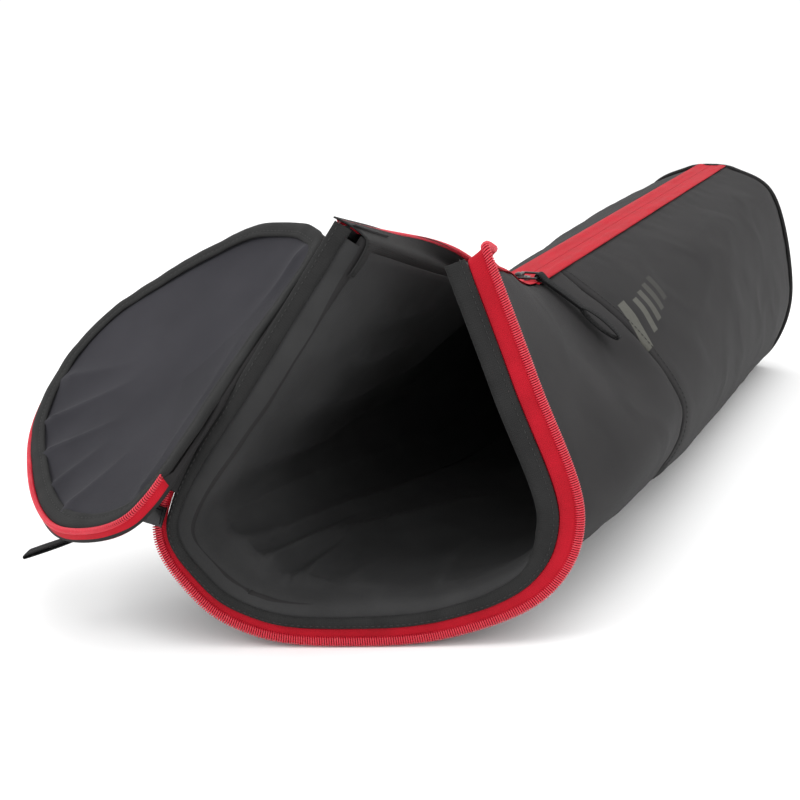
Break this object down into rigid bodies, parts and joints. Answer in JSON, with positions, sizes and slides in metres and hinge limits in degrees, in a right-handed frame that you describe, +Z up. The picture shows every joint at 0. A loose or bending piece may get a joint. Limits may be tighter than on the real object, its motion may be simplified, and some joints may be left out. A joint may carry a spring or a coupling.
{
  "type": "telescope carry case",
  "caption": "Long padded fabric carry case for a small telescope or tripod, lying down with its zipped end flap open.",
  "frame": {"origin": "on the floor at the flat underside of the case, under its middle", "axes": "+Y along the case from its mouth to its closed end, +Z up to the zipped spine, +X to the side away from the flap"},
  "size_m": [0.3336, 0.9341, 0.2159],
  "materials": {
    "outer_fabric": "matte polyester with a faint sheen",
    "padding": "closed-cell foam sheet",
    "lining_fabric": "woven nylon",
    "zipper_red": "woven crimson tape and coil",
    "binding_tape": "folded woven tape",
    "slider_metal": "dark gunmetal",
    "webbing": "woven webbing"
  },
  "bodies": {
    "case": {"head_panel_right": "outer_fabric", "head_panel_left": "outer_fabric", "main_panel_right": "outer_fabric", "main_panel_left": "outer_fabric", "base_panel": "outer_fabric", "end_panel": "outer_fabric", "hinge_strip": "outer_fabric", "foam_right": "padding", "foam_left": "padding", "foam_base": "padding", "foam_end": "padding", "lining_body": "lining_fabric", "lining_end": "lining_fabric", "zip_coil_mouth": "zipper_red", "zip_tape_mouth": "zipper_red", "slit_tape_right": "zipper_red", "slit_coil_right": "zipper_red", "slit_tape_left": "zipper_red", "slit_coil_left": "zipper_red", "spine_tape_right": "zipper_red", "spine_coil_right": "zipper_red", "spine_tape_left": "zipper_red", "spine_coil_left": "zipper_red", "mouth_binding": "binding_tape", "zip_stop_mouth": "slider_metal", "zip_stop_spine": "slider_metal", "front_strap_loop": "webbing", "rear_strap_loop": "webbing"},
    "flap": {"flap_shell": "outer_fabric", "foam_flap": "padding", "lining_flap": "lining_fabric", "flap_binding": "binding_tape", "zip_tape_flap": "zipper_red", "flap_hinge_wall": "outer_fabric", "zip_coil_flap": "zipper_red"},
    "top_slider_body": {"top_slider": "slider_metal"},
    "top_pull_body": {"top_pull_ring": "slider_metal"},
    "top_tab_body": {"top_pull_tab": "webbing"},
    "lower_slider_body": {"lower_slider": "slider_metal"},
    "lower_pull_body": {"lower_pull_ring": "slider_metal"},
    "lower_tab_body": {"lower_pull_tab": "webbing"},
    "front_ring_body": {"front_strap_ring": "slider_metal"},
    "rear_ring_body": {"rear_strap_ring": "slider_metal"}
  },
  "joints": [
    {"name": "flap_hinge", "type": "hinge", "parent": "case", "child": "flap", "pos_m": [-0.06929, -0.49841, 0.05745], "axis": [0.225, 0.4919, 0.8411], "range_deg": [0, 234.9]},
    {"name": "top_slider_slide", "type": "slide", "parent": "case", "child": "top_slider_body", "axis": [0, 0.996, 0.0899], "range_m": [0, 0.54]},
    {"name": "top_pull_swing", "type": "hinge", "parent": "top_slider_body", "child": "top_pull_body", "pos_m": [0, -0.18031, 0.16339], "axis": [0, -0.996, -0.0899], "range_deg": [0, 140]},
    {"name": "top_tab_lift", "type": "hinge", "parent": "top_pull_body", "child": "top_tab_body", "pos_m": [0.0135, -0.18031, 0.16339], "axis": [0, -0.996, -0.0899], "range_deg": [0, 34]},
    {"name": "lower_slider_slide", "type": "slide", "parent": "case", "child": "lower_slider_body", "axis": [0.2252, 0.2411, 0.944], "range_m": [-0.006, 0.003]},
    {"name": "lower_pull_swing", "type": "hinge", "parent": "lower_slider_body", "child": "lower_pull_body", "pos_m": [-0.09033, -0.47491, 0.07162], "axis": [0.2116, -0.9773, 0.0131], "range_deg": [0, 35]},
    {"name": "lower_tab_swing", "type": "hinge", "parent": "lower_pull_body", "child": "lower_tab_body", "pos_m": [-0.10158, -0.47741, 0.0668], "axis": [0.2116, -0.9773, 0.0131], "range_deg": [0, 25]},
    {"name": "front_ring_swing", "type": "hinge", "parent": "case", "child": "front_ring_body", "pos_m": [-0.012, -0.386, 0.0058], "axis": [-1, 0, 0], "range_deg": [0, 120]},
    {"name": "rear_ring_swing", "type": "hinge", "parent": "case", "child": "rear_ring_body", "pos_m": [0, 0.4187, 0.115], "axis": [1, 0, 0], "range_deg": [-5, 140]}
  ],
  "couplings": [
    {"joint": "top_tab_lift", "follows": "top_slider_slide", "rad_per_m": 1.05}
  ]
}
